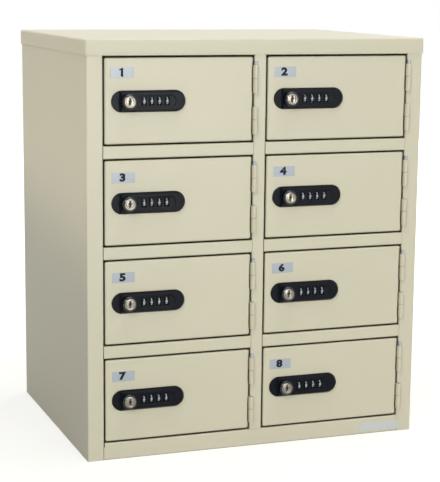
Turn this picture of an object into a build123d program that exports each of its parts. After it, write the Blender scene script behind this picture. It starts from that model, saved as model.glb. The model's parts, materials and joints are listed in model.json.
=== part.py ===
from build123d import *
from math import atan2, degrees
import os

# Cell phone locker box: a folded steel cabinet with a 2 by 4 grid of compartments.
# Each compartment has its own hinged door with a four-dial combination lock.
# Millimetres. Origin: middle of the bottom face. +X right, +Y back, +Z up.

# ---------------------------------------------------------------- cabinet sizes
columns = 2
rows = 4
body_width = 428.0
body_depth = 328.0
body_height = 500.0         # floor to the top of the cap
sheet = 1.2                 # steel thickness
bend_inside = 0.4           # inside radius of every fold
stile_width = 20.0          # outer uprights of the front
mid_stile_width = 15.2      # upright between two columns
jamb_depth = 15.2           # how far the uprights are folded back
sill_height = 21.0          # front of the floor pan
sill_nick = 0.9             # width of the relief cut at the sill's upper left corner
sill_nick_height = 5.0
rail_height = 15.0          # front fold of a shelf
rail_return = 12.0          # lower return of a shelf fold
rail_joint = 0.3            # open joint between a rail and the upright left of it
header_height = 19.4        # front above the top doors, cap included
notch_room = 0.5            # slack of a shelf notch round the uprights
shelf_slack = 0.3           # air between a shelf's edges and the outer walls
cap_flange = 18.7           # skirt of the cap
cap_fit = 0.2               # slack between the cap and the body
cap_corner = 2.2            # outside radius of the cap's corners

# ---------------------------------------------------------------- door sizes
door_gap = 2.0              # gap all round a door
door_depth = 15.0           # door pan, front to back
door_corner = 1.2           # bevel of a door's corners and of its front edges

# ---------------------------------------------------------------- hinge sizes
pin_radius = 2.2
pin_fit = 0.08              # running clearance round a pin
knuckle_wall = 0.9
knuckle_standoff = 0.3      # air between a knuckle and the cabinet front
door_knuckle_length = 15.4
frame_knuckle_length = 17.4
knuckle_gap = 0.3           # air between the two knuckles of a hinge
hinge_sides = 10            # flats of the hinge barrels and pins, kept few as they repeat
hinge_spread = 24.5         # from the door's middle height to a hinge's parting line
hinge_offset = 0.2          # from the opening's edge to the hinge axis
leaf_depth = 12.0           # how far a leaf reaches back into the gap
leaf_slack = 0.8            # air between a leaf and the part it passes
pin_proud = 4.8             # head of the upper pin above its knuckle

# ---------------------------------------------------------------- lock sizes
lock_length = 90.0
lock_height = 25.2
lock_inset = 9.8            # from the opening's left edge to the lock's end
lock_drop = 0.3             # lock centre below the opening's centre
base_thickness = 1.6        # low rim of the case, and its flat left end
case_thickness = 5.0        # case at its raised panel
panel_start = 9.3           # left end of the raised panel
panel_bevel = 2.3           # how far the panel's edges slope in
knob_at = 19.4              # knob axis from the lock's left end
knob_radius = 9.0
knob_reach = 12.6           # knob face in front of the door
knob_lift = 0.3             # air between the knob and the case
grip_edge = 1.5             # height of the bevel between the knob's rim and its key face
spindle_radius = 7.4        # to the corners of its flats
spindle_sides = 12
round_sides = 20            # flats of the lock's round outlines, kept few as locks repeat
spindle_fit = 0.07          # running clearance round the knob's spindle
barrel_wall = 1.9           # case wall round the spindle
housing_reach = 11.0        # rear housing behind the door's face
plate_thickness = 1.5       # backing plate that clamps the door
plate_margin = 9.0          # plate beyond each end of the housing
plate_border = 4.0          # plate above and below the housing
screw_radius = 2.9          # to the corners of a hex screw head
screw_head = 2.0
plug_radius = 7.0           # face of the key cylinder
keyway_width = 1.5
keyway_height = 8.0
keyway_depth = 3.0
hole_slack = 0.4            # holes in the door round the lock

dial_count = 4
dial_first = 38.5           # first dial from the lock's left end
dial_pitch = 9.3
dial_digits = 10
dial_radius = 5.5           # to the corners of the ten flats
dial_width = 4.6
dial_axis_depth = 0.1       # dial axis in front of the door's face
dial_room = 0.45            # air round a dial
dial_rod_radius = 1.2       # to the corners of its flats
rod_sides = 8
rod_fit = 0.06
field_recess = 0.7          # sunk field round the dials
field_height = 14.0
field_start = 30.4
field_end = 77.4
window_wall = 0.8           # case wall that the dial windows are cut in
housing_wall = 1.5          # walls of the dial housing behind the door

cam_length = 35.0           # spindle axis to the cam's tip
cam_width = 14.0
cam_thickness = 2.0
cam_gap = 0.9               # air between the uprights' folds and the cam
tenon = 8.0                 # square that carries the cam
hex_sides = 6               # bolt heads and the dials' bores
cam_screw_radius = 5.6      # to the corners of its hex head
cam_screw_head = 2.6

past = 1.0                  # how far a cut runs beyond the faces it opens

# ---------------------------------------------------------------- worked out
front_y = -body_depth / 2
back_y = body_depth / 2
left_x = -body_width / 2
right_x = body_width / 2
under_cap = body_height - sheet
opening_width = (body_width - 2 * stile_width - (columns - 1) * mid_stile_width) / columns
opening_height = (body_height - sill_height - header_height
                  - (rows - 1) * rail_height) / rows
bend_middle = bend_inside + sheet / 2
bend_outside = bend_inside + sheet
rear_zone_y = front_y + jamb_depth + notch_room
shelf_back = back_y - sheet - shelf_slack
knuckle_radius = pin_radius + pin_fit + knuckle_wall
hinge_axis_y = front_y - knuckle_standoff - knuckle_radius
leaf_thickness = door_gap - leaf_slack
barrel_radius = spindle_radius + spindle_fit + barrel_wall
case_radius = lock_height / 2
dial_room_radius = dial_radius + dial_room
field_face = case_thickness - field_recess
window_depth = field_face - window_wall - dial_axis_depth
window_height = 2 * (dial_room_radius ** 2 - window_depth ** 2) ** 0.5
dial_middle = dial_first + (dial_count - 1) * dial_pitch / 2
dial_room_length = (dial_count - 1) * dial_pitch + dial_width + 2 * dial_room
housing_start = knob_at - barrel_radius
housing_end = dial_middle + dial_room_length / 2 + housing_wall
housing_length = housing_end - housing_start
housing_middle = (housing_start + housing_end) / 2
housing_height = 2 * barrel_radius
cam_y = jamb_depth + cam_gap


def opening_left(column):
    """Left edge of a door opening."""
    return left_x + stile_width + column * (opening_width + mid_stile_width)


def opening_bottom(row):
    """Lower edge of a door opening; row 0 is the top row."""
    return sill_height + (rows - 1 - row) * (opening_height + rail_height)


def shelf_sides(column):
    """Side edges of the shelves in a column: at the partition, or just off the outer wall."""
    left = left_x + sheet + shelf_slack
    if column > 0:
        left = opening_left(column) - mid_stile_width / 2 + sheet / 2
    right = right_x - sheet - shelf_slack
    if column < columns - 1:
        right = opening_left(column + 1) - mid_stile_width / 2 - sheet / 2
    return left, right


def block(x, y, z):
    """Box from three (low, high) pairs."""
    size = [high - low for low, high in (x, y, z)]
    middle = [(high + low) / 2 for low, high in (x, y, z)]
    return Pos(*middle) * Box(*size)


def folded(points):
    """Cross-section of a folded sheet whose middle line follows the points."""
    return trace(FilletPolyline(*points, radius=bend_middle), sheet)


def along_x(points_yz, low, high):
    """Folded sheet with its section in YZ, running along X."""
    return Pos(low, 0, 0) * extrude(Plane.YZ * folded(points_yz), high - low)


def bevelled(outline, near, far, edge):
    """Solid between two distances in front of the door's face.
    It narrows by edge on every side on its way forward."""
    height = far - near
    solid = extrude(outline, height, taper=degrees(atan2(edge, height)))
    return Pos(0, -near, 0) * Rot(90, 0, 0) * solid


def along_y(sketch, front, back):
    """Solid with its section in XZ, running along Y. The sketch's y becomes z."""
    section = Plane((0, 0, 0), x_dir=(1, 0, 0), z_dir=(0, -1, 0)) * sketch
    return Pos(0, back, 0) * extrude(section, back - front)


# ---------------------------------------------------------------- cabinet
def body_wrap():
    """Sides, back and outer uprights, folded from one sheet."""
    half = sheet / 2
    side = left_x + half
    front = front_y + half
    back = back_y - half
    jamb = left_x + stile_width - half
    fold_end = front_y + jamb_depth
    path = [(jamb, fold_end), (jamb, front), (side, front), (side, back),
            (-side, back), (-side, front), (-jamb, front), (-jamb, fold_end)]
    return extrude(folded(path), under_cap)


def floor_pan():
    """Floor with its front fold, the sill, notched round the outer uprights."""
    half = sheet / 2
    front = front_y + half
    edge = left_x + sheet + shelf_slack
    path = [(shelf_back, half), (front, half), (front, sill_height - half),
            (front_y + rail_return, sill_height - half)]
    pan = along_x(path, edge, -edge)
    start = left_x + stile_width
    pan -= upright_notches(edge, start, right_x - stile_width, -edge, 0, sill_height)
    return pan - block((start - past, start + sill_nick), (front_y - past, rear_zone_y),
                       (sill_height - sill_nick_height, sill_height + past))


def upright_notches(left, opening_start, opening_end, right, low, high):
    """Blocks that clear the folded uprights at both ends of a front rail."""
    depth = (front_y - past, rear_zone_y)
    height = (low - past, high + past)
    return [block((left - past, opening_start), depth, height),
            block((opening_end, right + past), depth, height)]


def shelf(row, column):
    """Shelf under the compartments of a row, folded down at its front."""
    half = sheet / 2
    top = opening_bottom(row)
    low = top - rail_height
    front = front_y + half
    path = [(shelf_back, top - half), (front, top - half), (front, low + half),
            (front_y + rail_return, low + half)]
    left, right = shelf_sides(column)
    plate = along_x(path, left, right)
    start = opening_left(column)
    return plate - upright_notches(left, start + rail_joint, start + opening_width,
                                   right, low, top)


def header(column):
    """Channel above a column of doors, behind the skirt of the cap."""
    half = sheet / 2
    low = body_height - header_height + half
    high = under_cap - half
    end = front_y + rail_return
    path = [(end, low), (front_y + half, low), (front_y + half, high), (end, high)]
    start = opening_left(column)
    return along_x(path, start + rail_joint, start + opening_width)


def mid_stile(column):
    """Upright channel right of a column; its lips hold the partition."""
    half = sheet / 2
    left = opening_left(column) + opening_width
    right = left + mid_stile_width
    middle = (left + right) / 2
    lip = front_y + jamb_depth - half
    front = front_y + half
    path = [(middle - half, lip), (left + half, lip), (left + half, front),
            (right - half, front), (right - half, lip), (middle + half, lip)]
    return Pos(0, 0, sill_height) * extrude(folded(path), under_cap - sill_height)


def partition(column):
    """Upright wall between two columns, from the mid stile to the back.
    Below the stile its foot reaches forward to the sill."""
    middle = opening_left(column) + opening_width + mid_stile_width / 2
    width = (middle - sheet / 2, middle + sheet / 2)
    wall = block(width, (front_y + jamb_depth - sheet, back_y - sheet), (sheet, under_cap))
    foot = block(width, (front_y + bend_outside, front_y + jamb_depth),
                 (bend_outside, sill_height - bend_outside))
    return wall + foot


def top_cap():
    """Lid with a skirt on all four sides, over the top of the body."""
    reach = cap_fit + sheet
    outer = extrude(RectangleRounded(body_width + 2 * reach, body_depth + 2 * reach,
                                     cap_corner), cap_flange)
    outer = chamfer(outer.faces().sort_by(Axis.Z)[-1].edges(), bend_outside / 2)
    inner = extrude(Rectangle(body_width + 2 * cap_fit, body_depth + 2 * cap_fit),
                    cap_flange - sheet)
    return Pos(0, 0, body_height - cap_flange) * (outer - inner)


# ---------------------------------------------------------------- hinges
def hinge_axis_x(column):
    return opening_left(column) + opening_width + hinge_offset


def parting_heights(row):
    """Height of the line between the two knuckles, lower and upper hinge."""
    middle = opening_bottom(row) + opening_height / 2
    return middle - hinge_spread, middle + hinge_spread


def knuckle_section(leaf_left):
    """Barrel and leaf of a hinge half, its axis at the origin.
    leaf_left is where the leaf's left face lies."""
    reach = knuckle_radius + knuckle_standoff + leaf_depth
    leaf = Pos(leaf_left + leaf_thickness / 2, reach / 2) * Rectangle(leaf_thickness, reach)
    return RegularPolygon(knuckle_radius, hinge_sides) + leaf


def door_knuckles(row, column):
    """The upper half of both lift-off hinges, with leaves that lie on the door's edge."""
    bore = RegularPolygon(pin_radius + pin_fit, hinge_sides, major_radius=False)
    one = extrude(knuckle_section(-hinge_offset - door_gap) - bore, door_knuckle_length)
    return [Pos(hinge_axis_x(column), hinge_axis_y, z + knuckle_gap / 2) * one
            for z in parting_heights(row)]


def frame_knuckles(row, column):
    """The lower, solid half of both hinges, with leaves welded on the upright."""
    one = extrude(knuckle_section(-hinge_offset - leaf_thickness), -frame_knuckle_length)
    return [Pos(hinge_axis_x(column), hinge_axis_y, z - knuckle_gap / 2) * one
            for z in parting_heights(row)]


def pins(row, column):
    """The pins that stand on the lower halves; the upper one has a proud head."""
    low, high = parting_heights(row)
    section = RegularPolygon(pin_radius, hinge_sides)
    plain = extrude(section, knuckle_gap + door_knuckle_length)
    long = extrude(section, knuckle_gap + door_knuckle_length + pin_proud)
    long = chamfer(long.faces().sort_by(Axis.Z)[-1].edges(), pin_radius / 4)
    place = (hinge_axis_x(column), hinge_axis_y)
    return [Pos(*place, low - knuckle_gap / 2) * plain,
            Pos(*place, high - knuckle_gap / 2) * long]


# ---------------------------------------------------------------- doors
def pan(width, height, depth):
    """Folded door pan, open at the back, its face at y = 0 and its middle at x = z = 0."""
    outline = Rectangle(width, height)
    outer = along_y(chamfer(outline.vertices(), door_corner), 0, depth)
    outer = chamfer(outer.faces().sort_by(Axis.Y)[0].edges(), door_corner / 2)
    inner = along_y(Rectangle(width - 2 * sheet, height - 2 * sheet), sheet, depth)
    return outer - inner


def housing_outline(slack=0.0):
    """Outline of the lock's rear housing, with room round it."""
    return Pos(housing_middle, 0) * Rectangle(housing_length + 2 * slack,
                                              housing_height + 2 * slack)


def lock_place(row, column):
    """Where the lock's left end meets the door's face."""
    x = opening_left(column) + lock_inset
    z = opening_bottom(row) + opening_height / 2 - lock_drop
    return Pos(x, front_y, z)


def door(row, column):
    """Door pan with its lock cut-out and its two welded knuckles."""
    width = opening_width - 2 * door_gap
    height = opening_height - 2 * door_gap
    middle_x = opening_left(column) + opening_width / 2
    middle_z = opening_bottom(row) + opening_height / 2
    leaf = Pos(middle_x, front_y, middle_z) * pan(width, height, door_depth)
    leaf -= lock_place(row, column) * along_y(housing_outline(hole_slack), -past, sheet + past)
    return [leaf] + door_knuckles(row, column)


# ---------------------------------------------------------------- locks
def round_ended(left, right, height):
    """Bar along X, square at the left and round at the right."""
    radius = height / 2
    centre = right - radius
    bar = Pos((left + centre) / 2, 0) * Rectangle(centre - left, height)
    return bar + Pos(centre, 0) * RegularPolygon(radius, round_sides)


def lock_case():
    """Moulded lock body with its rear housing, spindle bore and four dial windows."""
    rim = round_ended(case_radius, lock_length, lock_height)
    rim += Pos(case_radius, 0) * RegularPolygon(case_radius, round_sides)
    case = along_y(rim, -base_thickness, 0)
    panel = round_ended(panel_start, lock_length, lock_height)
    case += bevelled(panel, base_thickness, case_thickness, panel_bevel)
    case += along_y(housing_outline(), 0, housing_reach)
    field = round_ended(field_start, field_end, field_height)
    case -= along_y(field, -case_thickness - past, -field_face)
    bore = RegularPolygon(spindle_radius + spindle_fit, spindle_sides, major_radius=False)
    case -= Pos(knob_at, 0, 0) * along_y(bore, -case_thickness - past, housing_reach + past)
    room_front = window_wall - field_face
    case -= block((dial_middle - dial_room_length / 2, dial_middle + dial_room_length / 2),
                  (room_front, dial_room_radius),
                  (-dial_room_radius, dial_room_radius))
    for number in range(dial_count):
        middle = dial_first + number * dial_pitch
        half = dial_width / 2 + dial_room
        case -= block((middle - half, middle + half), (-field_face - past, room_front + past),
                      (-window_height / 2, window_height / 2))
    return case


def dial_rod():
    """Rod that the dials turn on, trapped between the end walls of the housing."""
    section = RegularPolygon(dial_rod_radius, rod_sides)
    rod = extrude(section, dial_room_length / 2, both=True)
    return Pos(dial_middle, -dial_axis_depth, 0) * Rot(0, 90, 0) * rod


def backing_plate():
    """Steel plate round the rear housing that clamps the door to the case."""
    outline = Pos(housing_middle, 0) * Rectangle(housing_length + 2 * plate_margin,
                                                 housing_height + 2 * plate_border)
    outline -= housing_outline(hole_slack)
    return along_y(outline, sheet, sheet + plate_thickness)


def plate_screws():
    """Hex screw heads at both ends of the backing plate."""
    back = sheet + plate_thickness
    places = [housing_start - plate_margin / 2, housing_end + plate_margin / 2]
    head = along_y(RegularPolygon(screw_radius, hex_sides), back, back + screw_head)
    return [Pos(x, 0, 0) * head for x in places]


def dial_wheel():
    """Number wheel with ten flats, one to a digit, and a bore that runs on the rod."""
    outline = RegularPolygon(dial_radius, dial_digits, rotation=180 / dial_digits)
    bore = RegularPolygon(dial_rod_radius + rod_fit, hex_sides, major_radius=False)
    return Rot(0, 90, 0) * extrude(outline - bore, dial_width / 2, both=True)


def dial(number):
    middle = dial_first + number * dial_pitch
    return Pos(middle, -dial_axis_depth, 0) * dial_wheel()


def knob():
    """Turning knob with its spindle and the square tenon that carries the cam."""
    grip_back = -case_thickness - knob_lift
    rim_reach = knob_reach - grip_edge
    grip = RegularPolygon(knob_radius, round_sides)
    turn = along_y(grip, -rim_reach, grip_back)
    turn += bevelled(grip, rim_reach, knob_reach, knob_radius - plug_radius)
    turn += along_y(RegularPolygon(spindle_radius, spindle_sides), grip_back, cam_y)
    turn += along_y(Rectangle(tenon, tenon), cam_y, cam_y + cam_thickness)
    turn -= block((-keyway_width / 2, keyway_width / 2),
                  (-knob_reach - past, keyway_depth - knob_reach),
                  (-keyway_height / 2, keyway_height / 2))
    return Pos(knob_at, 0, 0) * turn


def cam():
    """Flat steel tongue that swings behind the upright; at rest it hangs down."""
    height = cam_length + cam_width / 2
    bar = Pos(0, (cam_width / 2 - cam_length) / 2) * Rectangle(cam_width, height)
    outline = chamfer(bar.vertices(), cam_width / 4) - Rectangle(tenon, tenon)
    return Pos(knob_at, 0, 0) * along_y(outline, cam_y, cam_y + cam_thickness)


def cam_screw():
    """Hex head that holds the cam on its tenon."""
    back = cam_y + cam_thickness
    head = RegularPolygon(cam_screw_radius, hex_sides)
    return Pos(knob_at, 0, 0) * along_y(head, back, back + cam_screw_head)


# ---------------------------------------------------------------- nodes
def cells():
    """Door number, row and column of each compartment, left to right, top down."""
    return [(row * columns + column + 1, row, column)
            for row in range(rows) for column in range(columns)]


def make_nodes():
    nodes = {"cabinet_body": [body_wrap(), floor_pan()], "top_cap": [top_cap()],
             "shelf_insert": [], "frame_hinges": []}
    for column in range(columns):
        nodes["shelf_insert"].append(header(column))
        nodes["shelf_insert"] += [shelf(row, column) for row in range(rows - 1)]
        if column < columns - 1:
            nodes["shelf_insert"] += [mid_stile(column), partition(column)]
    lock_parts = [lock_case(), dial_rod(), backing_plate()] + plate_screws()
    knob_parts = [knob(), cam(), cam_screw()]
    for number, row, column in cells():
        place = lock_place(row, column)
        nodes["frame_hinges"] += frame_knuckles(row, column) + pins(row, column)
        nodes[f"door_{number}"] = door(row, column)
        nodes[f"lock_case_{number}"] = [place * part for part in lock_parts]
        nodes[f"lock_knob_{number}"] = [place * part for part in knob_parts]
        for wheel in range(dial_count):
            nodes[f"lock_dial_{number}_{wheel + 1}"] = [place * dial(wheel)]
    return nodes


def main():
    os.makedirs("parts", exist_ok=True)
    for name, solids in make_nodes().items():
        shape = solids[0] if len(solids) == 1 else Compound(children=solids)
        shape.label = name
        export_step(shape, f"parts/{name}.step")


main()
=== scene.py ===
# %% [markdown]
# # A cell phone locker box
# The real object is a folded steel cabinet with eight hinged doors. Each door carries a
# black combination lock with four number dials and a key cylinder.
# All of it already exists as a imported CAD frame, in the right place and at the right size.
# It could be modelled again from nothing, but then no joint would fit. So the sheet-metal
# nodes whose shape is right stay and get paint, and the parts seen close up are modelled
# again over their nodes.

import json
import math

import bmesh
import bpy
from mathutils import Matrix, Vector


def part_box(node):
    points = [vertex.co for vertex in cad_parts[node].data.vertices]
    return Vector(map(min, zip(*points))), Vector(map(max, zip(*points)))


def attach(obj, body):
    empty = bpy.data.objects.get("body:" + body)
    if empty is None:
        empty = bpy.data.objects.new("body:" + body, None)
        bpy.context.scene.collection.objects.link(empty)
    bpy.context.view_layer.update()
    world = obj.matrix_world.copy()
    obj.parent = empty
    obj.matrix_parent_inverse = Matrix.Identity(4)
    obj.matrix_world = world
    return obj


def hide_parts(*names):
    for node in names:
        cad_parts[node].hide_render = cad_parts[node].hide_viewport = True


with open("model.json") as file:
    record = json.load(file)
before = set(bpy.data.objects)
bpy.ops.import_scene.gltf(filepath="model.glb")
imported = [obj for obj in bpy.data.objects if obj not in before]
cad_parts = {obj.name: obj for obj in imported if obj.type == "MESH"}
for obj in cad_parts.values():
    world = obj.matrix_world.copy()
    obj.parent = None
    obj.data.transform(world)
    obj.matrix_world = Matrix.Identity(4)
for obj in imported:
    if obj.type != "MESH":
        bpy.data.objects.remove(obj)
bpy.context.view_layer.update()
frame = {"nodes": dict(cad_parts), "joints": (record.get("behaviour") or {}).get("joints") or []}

# %% [markdown]
# ## Camera
# A product shot of a cabinet is taken from a few metres away with a long lens, a little
# above the object and a little to its left. That keeps the uprights nearly parallel.
# The two small shifts slide the frame without turning the camera.

# %% Camera
scene = bpy.context.scene
camera_data = bpy.data.cameras.new("camera")
camera_data.lens = 111.264
camera_data.sensor_width = 36.0
camera_data.shift_x = 0.00438
camera_data.shift_y = 0.02516
camera = bpy.data.objects.new("camera", camera_data)
scene.collection.objects.link(camera)
camera.location = (-0.65678, -1.81626, 0.56322)
camera.rotation_euler = [math.radians(turn) for turn in (79.7414, -0.564, -20.01316)]
scene.camera = camera
print("camera at", tuple(camera.location))

# %% [markdown]
# ## Helpers for materials
# Every finish below is built from shader nodes. Three small helpers keep that readable:
# one turns a paint code into the linear colour that a shader expects, one adds any node
# with its settings and links, and one starts a material with its single shader. A mix
# node has the same names for its number and colour sockets, so the colour ones go by
# their place in the list.

# %% Helpers for materials
MM = 0.001
COLOUR_A = 6
COLOUR_B = 7
MIXED_COLOUR = 2


def paint(code):
    """An sRGB hex colour as the linear colour that a shader takes."""
    shares = [int(code[start:start + 2], 16) / 255 for start in (1, 3, 5)]
    linear = [s / 12.92 if s <= 0.04045 else ((s + 0.055) / 1.055) ** 2.4 for s in shares]
    return (*linear, 1.0)


def add_node(tree, kind, settings=None, links=None):
    """Adds a shader node, fills in its settings and links its inputs."""
    node = tree.nodes.new(kind)
    for name, value in (settings or {}).items():
        if isinstance(name, int) or name in node.inputs:
            node.inputs[name].default_value = value
        else:
            setattr(node, name, value)
    for name, source in (links or {}).items():
        tree.links.new(source, node.inputs[name])
    return node


def start_material(name, finish):
    """A material with one shader. Gives it with its tree, shader and object coordinates."""
    material = bpy.data.materials.new(name)
    material.use_nodes = True
    tree = material.node_tree
    tree.nodes.clear()
    shader = add_node(tree, "ShaderNodeBsdfPrincipled", finish)
    add_node(tree, "ShaderNodeOutputMaterial", {}, {"Surface": shader.outputs["BSDF"]})
    place = add_node(tree, "ShaderNodeTexCoord").outputs["Object"]
    print("material", name)
    return material, tree, shader, place


# %% [markdown]
# ## Powder-coated steel
# The cabinet, doors and hinge leaves are sprayed with cream powder and baked. The powder
# melts into a satin skin with a soft orange-peel ripple, a millimetre or two across.
# A noise bump at that size gives the ripple, and a slow noise shifts the tone by a hair,
# as the film is never equally thick. Deep in the seams little light gets in, and an
# occlusion node paints that shade into the film's colour where walls are a few
# millimetres away on both sides.

# %% Powder-coated steel
PEEL_SIZE = 2.2
CLOUD_SIZE = 90.0
PAINTED_SHADE_REACH = 6.0

# Powder-coated steel: a satin cream film over steel, softly rippled, with painted shade in its
# seams.
powder, tree, shader, place = start_material(
    "powder_coated_steel", {"Roughness": 0.42, "IOR": 1.5})
cloud = add_node(tree, "ShaderNodeTexNoise",
                 {"Scale": 1 / (CLOUD_SIZE * MM), "Detail": 2.0}, {"Vector": place})
tone = add_node(tree, "ShaderNodeMix",
                {"data_type": "RGBA", COLOUR_A: paint("#d8d3ba"),
                 COLOUR_B: paint("#d4cfb6")}, {"Factor": cloud.outputs["Fac"]})
peel = add_node(tree, "ShaderNodeTexNoise",
                {"Scale": 1 / (PEEL_SIZE * MM), "Detail": 1.5}, {"Vector": place})
ripple = add_node(tree, "ShaderNodeBump", {"Strength": 0.12, "Distance": 0.05 * MM},
                  {"Height": peel.outputs["Fac"]})
# Painted shade: an occlusion node that darkens the coat's colour in seams and gaps.
shade_occlusion = add_node(tree, "ShaderNodeAmbientOcclusion",
                {"samples": 8, "Distance": PAINTED_SHADE_REACH * MM})
# In the open the occlusion is 1. Below a half of it, the colour starts to go dark: painted shade
# in seams and gaps.
painted_shade_amount = add_node(tree, "ShaderNodeMapRange", {"From Min": 0.5, "From Max": 0.12},
                {"Value": shade_occlusion.outputs["AO"]})
tone_with_painted_shade = add_node(tree, "ShaderNodeMix", {"data_type": "RGBA", COLOUR_B: paint("#45423a")},
                {"Factor": painted_shade_amount.outputs["Result"], COLOUR_A: tone.outputs[MIXED_COLOUR]})
tree.links.new(tone_with_painted_shade.outputs[MIXED_COLOUR], shader.inputs["Base Color"])
tree.links.new(ripple.outputs["Normal"], shader.inputs["Normal"])

# %% [markdown]
# ## Black moulded plastics
# The lock case is injection-moulded ABS from a spark-eroded mould, which leaves an even
# grit on the skin and keeps highlights broad. The knob is the same plastic from a
# polished mould. The number wheels are acetal, a harder and slicker plastic. A fine noise
# bump and a varying roughness tell them apart.

# %% Black moulded plastics
# The real grit is finer than a tenth of a millimetre. It is drawn coarser, so it shows.
GRIT_SIZE = 0.45
HAZE_SIZE = 2.0
FLOW_SIZE = 1.5

# Moulded ABS: near-black with a cool cast, and a fine even grit from the mould.
lock_black, tree, shader, place = start_material(
    "moulded_abs", {"Base Color": paint("#090c14"), "Roughness": 0.36, "IOR": 1.5,
                    "Specular IOR Level": 0.1})
grit = add_node(tree, "ShaderNodeTexNoise",
                {"Scale": 1 / (GRIT_SIZE * MM), "Detail": 2.0}, {"Vector": place})
skin = add_node(tree, "ShaderNodeMapRange", {"To Min": 0.3, "To Max": 0.42},
                {"Value": grit.outputs["Fac"]})
stipple = add_node(tree, "ShaderNodeBump", {"Strength": 0.2, "Distance": 0.02 * MM},
                   {"Height": grit.outputs["Fac"]})
tree.links.new(skin.outputs["Result"], shader.inputs["Roughness"])
tree.links.new(stipple.outputs["Normal"], shader.inputs["Normal"])

# Polished ABS: the same black from a polished mould, so its rim catches a thin light.
knob_black, tree, shader, place = start_material(
    "polished_abs", {"Base Color": paint("#0d1120"), "Roughness": 0.24, "IOR": 1.5})
haze = add_node(tree, "ShaderNodeTexNoise",
                {"Scale": 1 / (HAZE_SIZE * MM), "Detail": 2.0}, {"Vector": place})
polish = add_node(tree, "ShaderNodeMapRange", {"To Min": 0.2, "To Max": 0.3},
                  {"Value": haze.outputs["Fac"]})
tree.links.new(polish.outputs["Result"], shader.inputs["Roughness"])

# Moulded acetal: a slick black wheel, a little glossier than its case.
wheel_black, tree, shader, place = start_material(
    "moulded_acetal", {"Base Color": paint("#0b0c0f"), "Roughness": 0.3, "IOR": 1.48,
                       "Specular IOR Level": 0.2})
flow = add_node(tree, "ShaderNodeTexNoise",
                {"Scale": 1 / (FLOW_SIZE * MM), "Detail": 2.0}, {"Vector": place})
gloss = add_node(tree, "ShaderNodeMapRange", {"To Min": 0.24, "To Max": 0.38},
                 {"Value": flow.outputs["Fac"]})
tree.links.new(gloss.outputs["Result"], shader.inputs["Roughness"])

# %% [markdown]
# ## Plated metals
# The key cylinder is nickel plate over brass: warm, with a sheen that handling has made
# uneven. The pins, cams and backing plates are zinc plate, which is bluer and duller,
# with a faint mottled grain. Both are plain metals, so their colour is the colour of
# their reflections.

# %% Plated metals
WEAR_SIZE = 1.2
MOTTLE_SIZE = 3.0

# Nickel plate: warm, with a soft uneven sheen.
nickel, tree, shader, place = start_material(
    "nickel_plate", {"Base Color": paint("#7c776d"), "Metallic": 1.0, "Roughness": 0.3})
wear = add_node(tree, "ShaderNodeTexNoise",
                {"Scale": 1 / (WEAR_SIZE * MM), "Detail": 3.0}, {"Vector": place})
sheen = add_node(tree, "ShaderNodeMapRange", {"To Min": 0.22, "To Max": 0.36},
                 {"Value": wear.outputs["Fac"]})
tree.links.new(sheen.outputs["Result"], shader.inputs["Roughness"])

# Zinc plate: bluish grey and duller, with a mottled grain a few millimetres across.
zinc, tree, shader, place = start_material(
    "zinc_plate", {"Metallic": 1.0, "Roughness": 0.52})
mottle = add_node(tree, "ShaderNodeTexVoronoi", {"Scale": 1 / (MOTTLE_SIZE * MM)},
                  {"Vector": place})
blend = add_node(tree, "ShaderNodeMix",
                 {"data_type": "RGBA", COLOUR_A: paint("#989fa6"),
                  COLOUR_B: paint("#a6acb3")}, {"Factor": mottle.outputs["Color"]})
dull = add_node(tree, "ShaderNodeMapRange", {"To Min": 0.46, "To Max": 0.6},
                {"Value": mottle.outputs["Distance"]})
tree.links.new(blend.outputs[MIXED_COLOUR], shader.inputs["Base Color"])
tree.links.new(dull.outputs["Result"], shader.inputs["Roughness"])

# %% [markdown]
# ## Labels and print
# Door numbers are printed on laminated tape, a matt silver-grey strip with dark lettering
# under a clear film. The bare strip at the foot is a paler tape. The wheel numbers are
# white paint. Each has a colour that wavers a little, in grains of its own size.

# %% Labels and print
TAPE_GRAIN = 4.0
INK_GRAIN = 0.8
BRUSH_GRAIN = 0.6


def thin_coat(name, finish, grain, detail, low, high):
    """A film, ink or paint whose colour wavers between two paint codes."""
    material, tree, shader, place = start_material(name, finish)
    noise = add_node(tree, "ShaderNodeTexNoise",
                     {"Scale": 1 / (grain * MM), "Detail": detail}, {"Vector": place})
    colour = add_node(tree, "ShaderNodeMix",
                      {"data_type": "RGBA", COLOUR_A: paint(low), COLOUR_B: paint(high)},
                      {"Factor": noise.outputs["Fac"]})
    tree.links.new(colour.outputs[MIXED_COLOUR], shader.inputs["Base Color"])
    return material


# Laminated tape: matt silver-grey under a clear film.
tape_film = {"Roughness": 0.34, "IOR": 1.5}
tape = thin_coat("laminated_tape", tape_film, TAPE_GRAIN, 3.0, "#adb6be", "#b4bdc5")
pale_tape = thin_coat("pale_laminated_tape", tape_film, TAPE_GRAIN, 3.0,
                      "#ccd0cf", "#d4d8d6")

# Printed ink: dark navy, flat.
ink = thin_coat("printed_ink", {"Roughness": 0.5, "IOR": 1.5, "Specular IOR Level": 0.2},
                INK_GRAIN, 1.0, "#0b0e20", "#10142a")

# White numeral paint: bright, a touch cold, matt.
white_print = thin_coat("numeral_paint", {"Roughness": 0.55, "IOR": 1.5},
                        BRUSH_GRAIN, 1.0, "#b4c2ca", "#c2ced4")

# %% [markdown]
# ## The folded cabinet
# The wrapped body, the shelves and the uprights are folded sheet with their real bends
# already in the CAD frame. Modelling them again would only risk the fit of the doors, so
# these two nodes stay and take the powder coat.

# %% The folded cabinet
for name in ("cabinet_body", "shelf_insert"):
    node = frame["nodes"][name]
    node.data.materials.clear()
    node.data.materials.append(powder)
    print("painted", name, len(node.data.polygons), "faces")

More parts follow.
